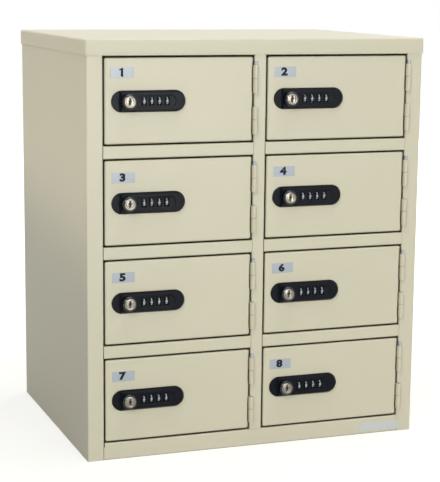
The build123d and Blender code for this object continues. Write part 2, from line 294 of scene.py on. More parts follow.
# %% [markdown]
# ## Helpers for finished pieces
# Each shape below is a bmesh in millimetres round its own origin. One helper shrinks it to
# a mesh in metres. The other moves a copy of the mesh to its place, so that its object
# stays at the origin as the frame's nodes do, and says which body it rides on. Two
# modifiers may finish a piece: a small bevel on its sharp edges, and normals that keep
# its flat sides flat.

# %% Helpers for finished pieces
SHARP_ANGLE = 35


def to_mesh(bm, name):
    """Ends a bmesh as a mesh in metres, with its faces turned outwards."""
    bmesh.ops.recalc_face_normals(bm, faces=bm.faces[:])
    bmesh.ops.scale(bm, vec=(MM, MM, MM), verts=bm.verts[:])
    mesh = bpy.data.meshes.new(name)
    bm.to_mesh(mesh)
    bm.free()
    mesh.shade_smooth()
    print(name, len(mesh.polygons), "faces")
    return mesh


def add_piece(mesh, name, where, material, body, rounding=0.0):
    """A copy of the mesh at a place in millimetres, riding on a body of the frame.

    The piece gets its edges rounded if asked, and a mesh that already has its materials
    keeps them.
    """
    own = mesh.copy()
    own.transform(Matrix.Translation(Vector(where) * MM))
    if not own.materials:
        own.materials.append(material)
    piece = bpy.data.objects.new(name, own)
    scene.collection.objects.link(piece)
    if rounding:
        edge = piece.modifiers.new("rounded_edges", "BEVEL")
        edge.width = rounding * MM
        edge.segments = 2
        edge.limit_method = "ANGLE"
        edge.angle_limit = math.radians(SHARP_ANGLE)
        edge.use_clamp_overlap = False
    shading = piece.modifiers.new("even_shading", "WEIGHTED_NORMAL")
    shading.keep_sharp = True
    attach(piece, body)
    return piece


# %% [markdown]
# ## Top cap
# The lid is seen close and from above, so its welded corners and folded edges are ground
# rounder than in the frame. It is a block without a floor, whose upright and upper edges
# are bevelled together, and a solidify modifier gives it the thickness of the sheet.

# %% Top cap
SHEET = 1.2
CAP_EDGE = 2.4


def open_face(bm, face):
    """Removes a face and returns its outline."""
    outline = face.edges[:]
    bmesh.ops.delete(bm, geom=[face], context="FACES_ONLY")
    return outline


def round_edges(bm, edges, radius, steps):
    """Rolls edges over to a radius."""
    bmesh.ops.bevel(bm, geom=edges, offset=radius, offset_type="OFFSET", segments=steps,
                    profile=0.5, affect="EDGES", material=-1)


def give_thickness(piece):
    """Turns a skin into sheet metal that lies inside it, before any other modifier."""
    wall = piece.modifiers.new("sheet_thickness", "SOLIDIFY")
    wall.thickness = SHEET * MM
    wall.offset = -1.0
    wall.use_even_offset = True
    piece.modifiers.move(len(piece.modifiers) - 1, 0)


low, high = [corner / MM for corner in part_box("top_cap")]
bm = bmesh.new()
block = bmesh.ops.create_cube(bm, size=1.0)["verts"]
bmesh.ops.scale(bm, vec=high - low, verts=block)
bmesh.ops.translate(bm, vec=(low + high) / 2, verts=block)
lowest = open_face(bm, min(bm.faces, key=lambda side: side.calc_center_median().z))
round_edges(bm, [edge for edge in bm.edges if edge not in lowest], CAP_EDGE, steps=5)
cap = add_piece(to_mesh(bm, "top_cap_shell"), "top_cap_shell", (0, 0, 0), powder,
                "cabinet")
give_thickness(cap)
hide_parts("top_cap")

# %% [markdown]
# ## Where the doors and locks are
# The frame already knows every place. A door's node gives its left edge and its middle
# height, its lock's node gives where the lock starts, and the hinge joints give the axes.
# Reading them here keeps every new piece on the part that carries it.

# %% Where the doors and locks are
DOORS = range(1, 9)
OPENING = (186.4, 103.65)
DOOR_GAP = 2.0
DOOR_WIDTH = OPENING[0] - 2 * DOOR_GAP
DOOR_HEIGHT = OPENING[1] - 2 * DOOR_GAP
DOOR_DEPTH = 15.0
DOOR_FACE = -164.0

door_middle = {}
lock_start = {}
hinge_axis = {}
for number in DOORS:
    low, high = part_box(f"door_{number}")
    door_middle[number] = (low.x / MM + DOOR_WIDTH / 2, (low.z + high.z) / 2 / MM)
    low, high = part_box(f"lock_case_{number}")
    lock_start[number] = (low.x / MM, DOOR_FACE, (low.z + high.z) / 2 / MM)
for joint in frame["joints"]:
    if joint["name"].endswith("_hinge"):
        number = int(joint["name"].split("_")[1])
        hinge_axis[number] = [length / MM for length in joint["pos_m"][:2]]
print("lock starts", lock_start)
print("hinge axes", hinge_axis)

# %% [markdown]
# ## Helpers for outlines
# Most of the other pieces are flat outlines that are pushed into depth, as a moulder or a
# sheet-metal worker would draw them. One helper draws an upright rectangle that faces the
# front, one rounds its corners, one pushes an outline back into walls, and one fills the
# flat between nested outlines.

# %% Helpers for outlines
UPRIGHT = Matrix.Rotation(math.radians(90), 3, "X")
WELD = 0.001


def add_rectangle(bm, low, high, y):
    """An upright face from the low to the high corner (x, z), facing the front."""
    corners = bmesh.ops.create_grid(bm, x_segments=1, y_segments=1, size=0.5)["verts"]
    bmesh.ops.scale(bm, vec=(high[0] - low[0], high[1] - low[1], 1), verts=corners)
    bmesh.ops.rotate(bm, matrix=UPRIGHT, verts=corners)
    middle = ((low[0] + high[0]) / 2, y, (low[1] + high[1]) / 2)
    bmesh.ops.translate(bm, vec=middle, verts=corners)
    return corners[0].link_faces[0]


def round_corners(bm, corners, radius, steps):
    """Rounds the corners of a flat face and returns the face, which the bevel remakes."""
    rounded = bmesh.ops.bevel(bm, geom=corners, offset=radius, offset_type="OFFSET",
                              segments=steps, profile=0.5, affect="VERTICES", material=-1)
    bmesh.ops.remove_doubles(bm, verts=rounded["verts"], dist=WELD)
    kept = [corner for corner in rounded["verts"] if corner.is_valid]
    return kept[0].link_faces[0]


def push(bm, outline, depth):
    """Walls from an outline towards the back; returns the outline at their far end."""
    grown = bmesh.ops.extrude_edge_only(bm, edges=outline)["geom"]
    far = {part for part in grown if isinstance(part, bmesh.types.BMVert)}
    bmesh.ops.translate(bm, vec=(0, depth, 0), verts=list(far))
    return [part for part in grown if isinstance(part, bmesh.types.BMEdge)
            and far.issuperset(part.verts)]


def fill(bm, outlines):
    """Flat faces inside the first outline and outside the others."""
    edges = [edge for outline in outlines for edge in outline]
    bmesh.ops.triangle_fill(bm, edges=edges, use_beauty=True, use_dissolve=False)


# %% [markdown]
# ## Door pans
# Each door is a shallow pan: a flat face with its four edges folded back and its corners
# welded and ground round. One rectangle with rounded corners is pushed back for the
# folded edges, and the edge of the face is bevelled into the bend. The lock's hole is left
# open before the pan gets its thickness.

# %% Door pans
BEND = 1.9
DOOR_CORNER = 2.2
HOLE_SLACK = 0.4
# The lock's rear housing: its left and right end and its half height.
HOUSING = (10.03, 70.65, 9.37)

bm = bmesh.new()
face = add_rectangle(bm, (-DOOR_WIDTH / 2, -DOOR_HEIGHT / 2),
                     (DOOR_WIDTH / 2, DOOR_HEIGHT / 2), 0)
face = round_corners(bm, face.verts[:], DOOR_CORNER, steps=5)
rim = face.edges[:]
push(bm, rim, DOOR_DEPTH)
round_edges(bm, rim, BEND, steps=4)
# The bevel remakes the faces, and the largest of them is the front.
face = max(bm.faces, key=lambda side: side.calc_area())
lock_left = lock_start[1][0] - door_middle[1][0]
lock_level = lock_start[1][2] - door_middle[1][1]
hole = add_rectangle(
    bm, (lock_left + HOUSING[0] - HOLE_SLACK, lock_level - HOUSING[2] - HOLE_SLACK),
    (lock_left + HOUSING[1] + HOLE_SLACK, lock_level + HOUSING[2] + HOLE_SLACK), 0)
fill(bm, [open_face(bm, face), open_face(bm, hole)])
door_mesh = to_mesh(bm, "door_pan")

for number in DOORS:
    x, z = door_middle[number]
    pan = add_piece(door_mesh, f"door_pan_{number}", (x, DOOR_FACE, z), powder,
                    f"door_{number}")
    give_thickness(pan)
    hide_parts(f"door_{number}")
print("door pans", len(DOORS))

# %% [markdown]
# ## Hinge leaves
# The doors hang on lift-off hinges. Each half is a steel leaf whose end is rolled round
# the pin, and the upper half lifts off the pin with its door. The roll is a spin: an edge
# of the leaf is swept round the axis, and the strip then gets its thickness. A tube beside
# a plate would be quicker, but would lack the roll's open seam.

# %% Hinge leaves
KNUCKLE_RADIUS = 3.18
KNUCKLE_WALL = 0.9
ROLL_ANGLE = 330
ROLL_STEPS = 30
LEAF_BACK = 15.4
DOOR_LEAF_LEFT = -2.2
FRAME_LEAF_LEFT = -1.4
DOOR_KNUCKLE = 15.3
FRAME_KNUCKLE = 17.3


def rolled_leaf(left, length, name):
    """A leaf whose left face lies at left, rolled round the upright axis at the origin."""
    bm = bmesh.new()
    start = math.sqrt(KNUCKLE_RADIUS ** 2 - left ** 2)
    ends = [bm.verts.new((left, LEAF_BACK, level)) for level in (0, length)]
    edge = bm.edges.new(ends)
    roll_start = push(bm, [edge], start - LEAF_BACK)
    turned = roll_start + list(roll_start[0].verts)
    bmesh.ops.spin(bm, geom=turned, cent=(0, 0, 0), axis=(0, 0, 1), dvec=(0, 0, 0),
                   angle=math.radians(ROLL_ANGLE), steps=ROLL_STEPS, use_merge=False,
                   use_duplicate=False)
    bmesh.ops.solidify(bm, geom=bm.faces[:], thickness=KNUCKLE_WALL)
    return to_mesh(bm, name)


door_leaf = rolled_leaf(DOOR_LEAF_LEFT, DOOR_KNUCKLE, "door_leaf")
frame_leaf = rolled_leaf(FRAME_LEAF_LEFT, FRAME_KNUCKLE, "frame_leaf")

# %% [markdown]
# ## Hinge pins and their places
# A zinc pin stands in each lower half, and the upper hinge's pin comes out at the top of
# its roll, so that a door is easier to hang. The pin is a cone with equal ends, bevelled.
# The door's leaves ride on the door, and the frame's leaves and the pins stay put.

# %% Hinge pins and their places
KNUCKLE_GAP = 0.5
LEAF_EDGE = 0.42
HINGE_SPREAD = 24.5
PIN_RADIUS = 2.2
PIN_ROUND = 0.5
PIN_PROUD = 4.8


def hinge_pin(length, name):
    """A round upright pin with softened ends."""
    bm = bmesh.new()
    made = bmesh.ops.create_cone(bm, cap_ends=True, segments=24, radius1=PIN_RADIUS,
                                 radius2=PIN_RADIUS, depth=length)
    bmesh.ops.translate(bm, vec=(0, 0, length / 2), verts=made["verts"])
    rims = [edge for edge in bm.edges if edge.verts[0].co.z == edge.verts[1].co.z]
    round_edges(bm, rims, PIN_ROUND, steps=3)
    return to_mesh(bm, name)


short_pin = hinge_pin(FRAME_KNUCKLE + KNUCKLE_GAP + DOOR_KNUCKLE, "short_pin")
long_pin = hinge_pin(FRAME_KNUCKLE + KNUCKLE_GAP + DOOR_KNUCKLE + PIN_PROUD, "long_pin")

for number in DOORS:
    x, y = hinge_axis[number]
    level = door_middle[number][1]
    for name, spread, pin in (("lower", -HINGE_SPREAD, short_pin),
                              ("upper", HINGE_SPREAD, long_pin)):
        parting = level + spread
        foot = (x, y, parting - KNUCKLE_GAP / 2 - FRAME_KNUCKLE)
        add_piece(door_leaf, f"door_leaf_{number}_{name}",
                  (x, y, parting + KNUCKLE_GAP / 2), powder,
                  f"door_{number}", LEAF_EDGE)
        held = add_piece(frame_leaf, f"frame_leaf_{number}_{name}", foot, powder,
                         "cabinet", LEAF_EDGE)
        add_piece(pin, f"hinge_pin_{number}_{name}", foot, zinc, "cabinet")
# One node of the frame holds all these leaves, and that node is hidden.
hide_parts("frame_hinges")
print("hinges", 2 * len(DOORS))

# %% [markdown]
# ## Lock case, rim and panel
# The case is one black moulding: a low rim, a raised panel whose edges slope in, a sunk
# field with four windows, and a rear housing that passes through the door. It is drawn as
# a chain of outlines in one bmesh, over three cells. First the rim is cut where the panel
# starts, and an inset lifts the panel and slopes its edge in one step.

# %% Lock case, rim and panel
LOCK_LENGTH = 90.0
LOCK_HEIGHT = 25.2
BASE = 1.6
CASE = 5.0
PANEL_START = 9.3
PANEL_BEVEL = 2.3
TINY = 0.0001

case_bm = bmesh.new()
half = LOCK_HEIGHT / 2
rim = add_rectangle(case_bm, (0, -half), (LOCK_LENGTH, half), -BASE)
rim = round_corners(case_bm, rim.verts[:], half, steps=14)
back_edge = push(case_bm, rim.edges[:], BASE)
bmesh.ops.bisect_plane(case_bm, geom=[rim] + rim.edges[:] + rim.verts[:], dist=TINY,
                       plane_co=(PANEL_START, 0, 0), plane_no=(1, 0, 0))
# The walls have four corners each, so the two parts of the front are the faces with more.
front = [side for side in case_bm.faces if len(side.verts) > 4]
panel = max(front, key=lambda side: side.calc_center_median().x)
bmesh.ops.inset_region(case_bm, faces=[panel], thickness=PANEL_BEVEL, depth=CASE - BASE,
                       use_even_offset=True, use_boundary=True)
panel_edge = open_face(case_bm, panel)
print("panel edge", len(panel_edge), "edges")

# %% [markdown]
# ## Lock case, field and windows
# The wheels look out through four windows in a sunk field with one round end. Each outline
# is pushed to its depth, and the flats between nested outlines are filled. That leaves
# real openings for the knob and the wheels, without the ragged edges of a boolean cut.

# %% Lock case, field and windows
KNOB_AT = 19.4
BORE_RADIUS = 7.6
# The sunk field: its left and right end and its height, and the level of its floor.
FIELD = (30.4, 77.4, 14.0)
FIELD_FACE = 4.3
WINDOW = (5.5, 9.77)
WINDOW_BACK = 3.5
# The room for the wheels: its left and right end and its half height.
ROOM = (35.75, 69.15, 5.95)
DIAL_FIRST = 38.5
DIAL_PITCH = 9.3
DIAL_COUNT = 4


def add_circle(bm, centre, radius, y, steps):
    """The edges of an upright circle round (x, z), each once and in a fixed order."""
    ring = bmesh.ops.create_circle(bm, cap_ends=False, segments=steps, radius=radius)["verts"]
    bmesh.ops.rotate(bm, matrix=UPRIGHT, verts=ring)
    bmesh.ops.translate(bm, vec=(centre[0], y, centre[1]), verts=ring)
    return list(dict.fromkeys(edge for corner in ring for edge in corner.link_edges))


field = add_rectangle(case_bm, (FIELD[0], -FIELD[2] / 2), (FIELD[1], FIELD[2] / 2), -CASE)
right = [corner for corner in field.verts if corner.co.x > LOCK_LENGTH / 2]
field = round_corners(case_bm, right, FIELD[2] / 2, steps=12)
field_edge = open_face(case_bm, field)
bore = add_circle(case_bm, (KNOB_AT, 0), BORE_RADIUS, -CASE, steps=32)
fill(case_bm, [panel_edge, field_edge, bore])
field_floor = push(case_bm, field_edge, CASE - FIELD_FACE)

windows = []
for wheel in range(DIAL_COUNT):
    middle = DIAL_FIRST + wheel * DIAL_PITCH
    window = add_rectangle(case_bm, (middle - WINDOW[0] / 2, -WINDOW[1] / 2),
                           (middle + WINDOW[0] / 2, WINDOW[1] / 2), -FIELD_FACE)
    windows.append(open_face(case_bm, window))
fill(case_bm, [field_floor] + windows)
inner = [push(case_bm, window, FIELD_FACE - WINDOW_BACK) for window in windows]
room = open_face(
    case_bm, add_rectangle(case_bm, (ROOM[0], -ROOM[2]), (ROOM[1], ROOM[2]), -WINDOW_BACK))
fill(case_bm, [room] + inner)
fill(case_bm, [push(case_bm, room, WINDOW_BACK + ROOM[2])])
print("windows", len(windows))

# %% [markdown]
# ## Lock case, rear housing
# The housing passes through the door and holds the knob's bore. It is the last outline of
# the chain, so its walls close the moulding. A bevel modifier then softens every edge, as
# a mould can't have sharp ones.

# %% Lock case, rear housing
HOUSING_REACH = 11.0
HOUSING_ROUND = 1.5
CASE_EDGE = 0.3

housing = add_rectangle(case_bm, (HOUSING[0], -HOUSING[2]), (HOUSING[1], HOUSING[2]), 0)
housing = open_face(
    case_bm, round_corners(case_bm, housing.verts[:], HOUSING_ROUND, steps=4))
fill(case_bm, [back_edge, housing])
fill(case_bm, [push(case_bm, housing, HOUSING_REACH),
               push(case_bm, bore, CASE + HOUSING_REACH)])
lock_mesh = to_mesh(case_bm, "lock_case")

for number in DOORS:
    case = add_piece(lock_mesh, f"lock_body_{number}", lock_start[number], lock_black,
                     f"door_{number}", CASE_EDGE)
    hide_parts(f"lock_case_{number}")
print("lock bodies", len(DOORS))

# %% [markdown]
# ## Backing plate
# Behind the door a zinc-plated plate slips over the housing and clamps the case with two
# hex-head screws. It only shows when a door stands open. A plate with a hole is two
# nested outlines, filled and given depth; a screw head is a six-sided circle.

# %% Backing plate
PLATE_MARGIN = 9.0
PLATE_BORDER = 4.0
PLATE_ROUND = 2.0
PLATE_EDGE = 0.2
PLATE = 1.5
SCREW_RADIUS = 2.9
SCREW_HEAD = 2.0
HEX = 6

bm = bmesh.new()
outer = add_rectangle(bm, (HOUSING[0] - PLATE_MARGIN, -HOUSING[2] - PLATE_BORDER),
                      (HOUSING[1] + PLATE_MARGIN, HOUSING[2] + PLATE_BORDER), SHEET)
outer = open_face(bm, round_corners(bm, outer.verts[:], PLATE_ROUND, steps=4))
hole = open_face(bm, add_rectangle(
    bm, (HOUSING[0] - HOLE_SLACK, -HOUSING[2] - HOLE_SLACK),
    (HOUSING[1] + HOLE_SLACK, HOUSING[2] + HOLE_SLACK), SHEET))
fill(bm, [outer, hole])
fill(bm, [push(bm, outer, PLATE), push(bm, hole, PLATE)])
for x in (HOUSING[0] - PLATE_MARGIN / 2, HOUSING[1] + PLATE_MARGIN / 2):
    head = add_circle(bm, (x, 0), SCREW_RADIUS, SHEET + PLATE, HEX)
    fill(bm, [head])
    fill(bm, [push(bm, head, SCREW_HEAD)])
plate_mesh = to_mesh(bm, "backing_plate")

for number in DOORS:
    add_piece(plate_mesh, f"backing_plate_{number}", lock_start[number], zinc,
              f"door_{number}", PLATE_EDGE)
print("backing plates", len(DOORS))

# %% [markdown]
# ## Knob
# The knob is a turned shape, so its half section is spun round its axis. The section
# starts at the spindle's back, widens to the grip and slopes in to the seat of the key
# face. A square tenon at the back of the spindle carries the cam. A spin takes one row of
# points, where stacked cylinders would leave seams between them.

# %% Knob
KNOB_RADIUS = 9.0
KNOB_BACK = -5.3
KNOB_REACH = 12.6
GRIP_EDGE = 1.5
FACE_RADIUS = 7.0
SPINDLE_RADIUS = 7.3
CAM_FRONT = 16.1
CAM = 2.0
TENON = 8.0
BACK_ROUND = 0.4
SHOULDER_ROUND = (0.3, 0.5)
LIP = (0.1, 0.15)
FACE_SUNK = 0.6
TURNED_STEPS = 40

# Each point is a distance from the axis and a place along it, from the back to the front.
shoulder = FACE_SUNK - KNOB_REACH + GRIP_EDGE
section = [(0, CAM_FRONT), (SPINDLE_RADIUS, CAM_FRONT), (SPINDLE_RADIUS, KNOB_BACK),
           (KNOB_RADIUS - BACK_ROUND, KNOB_BACK), (KNOB_RADIUS, KNOB_BACK - BACK_ROUND),
           (KNOB_RADIUS, shoulder),
           (KNOB_RADIUS - SHOULDER_ROUND[0], shoulder - SHOULDER_ROUND[1]),
           (FACE_RADIUS + LIP[0], LIP[1] - KNOB_REACH),
           (FACE_RADIUS, FACE_SUNK - KNOB_REACH), (0, FACE_SUNK - KNOB_REACH)]
bm = bmesh.new()
points = [bm.verts.new((0, y, radius)) for radius, y in section]
line = [bm.edges.new(pair) for pair in zip(points, points[1:])]
bmesh.ops.spin(bm, geom=points + line, cent=(0, 0, 0), axis=(0, 1, 0), dvec=(0, 0, 0),
               angle=math.radians(360), steps=TURNED_STEPS, use_merge=True,
               use_duplicate=False)
bmesh.ops.remove_doubles(bm, verts=bm.verts[:], dist=WELD)
tenon = open_face(
    bm, add_rectangle(bm, (-TENON / 2, -TENON / 2), (TENON / 2, TENON / 2), CAM_FRONT))
fill(bm, [push(bm, tenon, CAM)])
bmesh.ops.translate(bm, vec=(KNOB_AT, 0, 0), verts=bm.verts[:])
knob_mesh = to_mesh(bm, "knob")

# %% [markdown]
# ## Key face
# The key face is a nickel disc whose edge is rounded in a few rings. A groove parts it
# from the plug in its middle, which the key turns. The zigzag keyway is a nested outline
# in the plug with real depth, because a dark patch of paint would look flat from the
# side. Its walls and pit take the black of the wheels as painted shade, as no light
# reaches the wards of a real one.

# %% Key face
# The rings of the rounded edge: a radius, and how far it lies behind the knob's end.
DOME = ((6.9, 0.42), (6.6, 0.27), (6.0, 0.15), (5.1, 0.06))
PLUG_RADIUS = 4.8
PLUG_SUNK = 0.08
GROOVE = 0.3
KEYWAY_DEPTH = 0.45
KEYWAY = [(-0.7, 4.2), (0.9, 4.2), (0.9, 2.7), (0.3, 2.0), (1.9, 1.3), (1.9, 0.3),
          (0.9, -0.3), (0.9, -3.4), (-1.2, -3.4), (-1.2, -0.5), (-1.9, 0.3), (-1.9, 1.3),
          (-0.7, 2.1)]

bm = bmesh.new()
outline = add_circle(bm, (0, 0), FACE_RADIUS, FACE_SUNK - KNOB_REACH, TURNED_STEPS)
fill(bm, [outline])
for radius, sunk in DOME:
    ring = add_circle(bm, (0, 0), radius, sunk - KNOB_REACH, TURNED_STEPS)
    bmesh.ops.bridge_loops(bm, edges=outline + ring)
    outline = ring
groove = push(bm, outline, GROOVE)
plug = add_circle(bm, (0, 0), PLUG_RADIUS, PLUG_SUNK - KNOB_REACH, TURNED_STEPS)
groove_floor = push(bm, plug, DOME[-1][1] + GROOVE - PLUG_SUNK)
fill(bm, [groove, groove_floor])
corners = [bm.verts.new((x, PLUG_SUNK - KNOB_REACH, z)) for x, z in KEYWAY]
keyway = [bm.edges.new(pair) for pair in zip(corners, corners[1:] + corners[:1])]
fill(bm, [plug, keyway])
metal = set(bm.faces)
fill(bm, [push(bm, keyway, KEYWAY_DEPTH)])
# The keyway's walls and pit get the black acetal: painted shade over what is nickel in a real
# lock.
for side in set(bm.faces) - metal:
    side.material_index = 1
bmesh.ops.translate(bm, vec=(KNOB_AT, 0, 0), verts=bm.verts[:])
key_mesh = to_mesh(bm, "key_face")
key_mesh.materials.append(nickel)
key_mesh.materials.append(wheel_black)

# %% [markdown]
# ## Cam
# The cam is a zinc-plated tongue on the spindle's square end, held by a hex screw. It
# turns with the knob and catches behind the edge of the frame. It could be a bevelled
# block, but an outline with a square hole shows how it is fixed.

# %% Cam
CAM_LENGTH = 35.0
CAM_WIDTH = 14.0
CAM_EDGE = 0.2
CAM_SCREW_RADIUS = 5.6
CAM_SCREW_HEAD = 2.6

bm = bmesh.new()
tongue = add_rectangle(bm, (-CAM_WIDTH / 2, -CAM_LENGTH), (CAM_WIDTH / 2, CAM_WIDTH / 2),
                       CAM_FRONT)
tongue = open_face(bm, round_corners(bm, tongue.verts[:], CAM_WIDTH / 4, steps=5))
square = open_face(bm, add_rectangle(bm, (-TENON / 2, -TENON / 2),
                                     (TENON / 2, TENON / 2), CAM_FRONT))
fill(bm, [tongue, square])
fill(bm, [push(bm, tongue, CAM), push(bm, square, CAM)])
head = add_circle(bm, (0, 0), CAM_SCREW_RADIUS, CAM_FRONT + CAM, HEX)
fill(bm, [head])
fill(bm, [push(bm, head, CAM_SCREW_HEAD)])
bmesh.ops.translate(bm, vec=(KNOB_AT, 0, 0), verts=bm.verts[:])
cam_mesh = to_mesh(bm, "cam")

for number in DOORS:
    place = lock_start[number]
    knob = add_piece(knob_mesh, f"knob_grip_{number}", place, knob_black,
                     f"lock_knob_{number}")
    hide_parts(f"lock_knob_{number}")
    add_piece(key_mesh, f"key_face_{number}", place, nickel,
              f"lock_knob_{number}")
    add_piece(cam_mesh, f"cam_{number}", place, zinc,
              f"lock_knob_{number}", CAM_EDGE)
print("knobs", len(DOORS))

# %% [markdown]
# ## Figures
# The figures are flat shapes of paint or ink. They come from the built-in font, as the
# outline of a letter that is made a mesh, a little bolder and wider than it comes. The
# font's 1 is a bare bar, so that one is drawn as a few listed corners.

# %% Figures
FIGURE_STRETCH = 1.25
FIGURE_BOLDNESS = 0.06
FIGURE_ONE = [(0.0, 0.48), (0.1, 0.54), (0.1, 0.0), (0.27, 0.0), (0.27, 0.72),
              (0.15, 0.72), (0.1, 0.65), (0.0, 0.62)]


def draw_figure(text):
    """The flat bmesh of a figure, in the font's own size."""
    bm = bmesh.new()
    if text == "1":
        bm.faces.new([bm.verts.new((x, y, 0)) for x, y in FIGURE_ONE])
        return bm
    words = bpy.data.curves.new("words", "FONT")
    words.body = text
    words.offset = FIGURE_BOLDNESS
    words.resolution_u = 3
    holder = bpy.data.objects.new("words", words)
    scene.collection.objects.link(holder)
    bpy.context.view_layer.update()
    bm.from_mesh(bpy.data.meshes.new_from_object(holder))
    bpy.data.objects.remove(holder)
    bmesh.ops.remove_doubles(bm, verts=bm.verts[:], dist=TINY)
    return bm


def number_mesh(text, height):
    """A flat printed figure of a height in millimetres, upright, centred, facing front."""
    bm = draw_figure(text)
    shape = bpy.data.meshes.new(f"figure_{text}")
    lows = [min(corner.co[axis] for corner in bm.verts) for axis in (0, 1)]
    highs = [max(corner.co[axis] for corner in bm.verts) for axis in (0, 1)]
    size = height / (highs[1] - lows[1]) * MM
    middle = [-(low + high) / 2 for low, high in zip(lows, highs)]
    bmesh.ops.translate(bm, vec=(*middle, 0), verts=bm.verts[:])
    bmesh.ops.scale(bm, vec=(size * FIGURE_STRETCH, size, size), verts=bm.verts[:])
    bmesh.ops.rotate(bm, matrix=UPRIGHT, verts=bm.verts[:])
    bm.to_mesh(shape)
    bm.free()
    return shape


# %% [markdown]
# ## Number wheels
# A wheel is a ten-sided roller: one flat to a digit, with softened edges so that a finger
# catches on it. A ten-sided circle is pushed along the lock and bevelled. Each digit is
# laid just above the front flat and then turned round the axle to its own.

# %% Number wheels
DIAL_RADIUS = 5.5
DIAL_WIDTH = 4.6
DIAL_AXIS = -0.1
DIAL_EDGE = 0.35
DIAL_SIDES = 10
DIAL_STEP = 360 / DIAL_SIDES
FLAT_REACH = DIAL_RADIUS * math.cos(math.radians(DIAL_STEP / 2))
DIGIT_HEIGHT = 3.0
INK_LIFT = 0.03

bm = bmesh.new()
ring = bmesh.ops.create_circle(bm, cap_ends=True, segments=DIAL_SIDES,
                               radius=DIAL_RADIUS)["verts"]
half_step = Matrix.Rotation(math.radians(DIAL_STEP / 2), 3, "Z")
bmesh.ops.rotate(bm, matrix=half_step, verts=ring)
bmesh.ops.rotate(bm, matrix=Matrix.Rotation(math.radians(90), 3, "Y"), verts=ring)
bmesh.ops.translate(bm, vec=(-DIAL_WIDTH / 2, 0, 0), verts=ring)
side = ring[0].link_faces[0]
grown = bmesh.ops.extrude_face_region(bm, geom=[side])["geom"]
far = [part for part in grown if isinstance(part, bmesh.types.BMVert)]
bmesh.ops.translate(bm, vec=(DIAL_WIDTH, 0, 0), verts=far)
round_edges(bm, bm.edges[:], DIAL_EDGE, steps=2)
wheel_mesh = to_mesh(bm, "number_wheel")

digits_bm = bmesh.new()
for digit in range(DIAL_SIDES):
    shape = number_mesh(str(digit), DIGIT_HEIGHT)
    shape.transform(Matrix.Translation((0, -(FLAT_REACH + INK_LIFT) * MM, 0)))
    shape.transform(Matrix.Rotation(math.radians(-DIAL_STEP * digit), 4, "X"))
    digits_bm.from_mesh(shape)
digits_mesh = bpy.data.meshes.new("wheel_numbers")
digits_bm.to_mesh(digits_mesh)
digits_bm.free()
print("wheel numbers", len(digits_mesh.polygons), "faces")

for number in DOORS:
    x, y, z = lock_start[number]
    for wheel in range(DIAL_COUNT):
        name = f"{number}_{wheel + 1}"
        place = (x + DIAL_FIRST + wheel * DIAL_PITCH, y + DIAL_AXIS, z)
        roller = add_piece(wheel_mesh, f"number_wheel_{name}", place, wheel_black,
                           f"lock_dial_{name}")
        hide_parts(f"lock_dial_{name}")
        add_piece(digits_mesh, f"wheel_numbers_{name}", place, white_print,
                  f"lock_dial_{name}")
print("number wheels", len(DOORS) * DIAL_COUNT)

# %% [markdown]
# ## Door labels
# Each door has a strip of laminated tape with its number, stuck on by hand, so no two sit
# quite alike. A strip is a thin slab with rounded corners, and the number is flat ink
# just above it, a little left of its middle. One wider strip at the bottom right is bare.

# %% Door labels
LABEL = (27.9, 12.4)
LABEL_THICKNESS = 0.15
LABEL_ROUND = 0.8
NUMBER_HEIGHT = 10.0
NUMBER_SHARE = 0.46
NUMBER_RISE = 0.5
SILL_LABEL = (54.0, 11.5)
SILL_LABEL_PLACE = (169.0, DOOR_FACE, 9.15)
# From an opening's top left corner: to the right, down, and the tilt of the strip.
LABEL_PLACES = {1: (23.2, 19.1, 0.0), 2: (24.2, 20.3, 0.0), 3: (24.5, 22.1, 0.0),
                4: (24.7, 21.1, 0.0), 5: (24.3, 21.6, 0.0), 6: (24.9, 21.3, -1.5),
                7: (24.2, 22.7, 0.0), 8: (24.2, 23.2, 0.0)}


def tape_strip(width, height, name):
    """A thin slab of tape with rounded corners, its back on the plane at the origin."""
    bm = bmesh.new()
    face = add_rectangle(bm, (-width / 2, -height / 2), (width / 2, height / 2), 0)
    back = open_face(bm, round_corners(bm, face.verts[:], LABEL_ROUND, steps=4))
    fill(bm, [back])
    fill(bm, [push(bm, back, -LABEL_THICKNESS)])
    return to_mesh(bm, name)


strip_mesh = tape_strip(*LABEL, "door_label")
for number in DOORS:
    right, down, tilt = LABEL_PLACES[number]
    x = door_middle[number][0] - OPENING[0] / 2 + right
    z = door_middle[number][1] + OPENING[1] / 2 - down
    turn = Matrix.Rotation(math.radians(tilt), 4, "Y")
    strip = strip_mesh.copy()
    strip.transform(turn)
    add_piece(strip, f"door_label_{number}", (x, DOOR_FACE, z), tape,
              f"door_{number}")
    shape = number_mesh(str(number), NUMBER_HEIGHT)
    shift = (NUMBER_SHARE - 0.5) * LABEL[0] * MM
    shape.transform(turn @ Matrix.Translation((shift, 0, NUMBER_RISE * MM)))
    add_piece(shape, f"door_number_{number}",
              (x, DOOR_FACE - LABEL_THICKNESS - INK_LIFT, z), ink,
              f"door_{number}")

add_piece(tape_strip(*SILL_LABEL, "sill_label"), "sill_label", SILL_LABEL_PLACE, pale_tape,
          "cabinet")
print("labels", len(DOORS) + 1)

# %% [markdown]
# ## Floor
# A cabinet stands in a white sweep of painted board for its product shot. For the
# object's light the floor is plain and matt. Where it is seen, straight or mirrored, it
# is lifted to white, and least near the object, so that a soft shadow is left there.

# %% Floor
FLOOR_HALF = 6.0
# How far from the middle the lift starts to grow, and where it is full, in metres.
LIFT_NEAR = 0.35
LIFT_FAR = 1.3


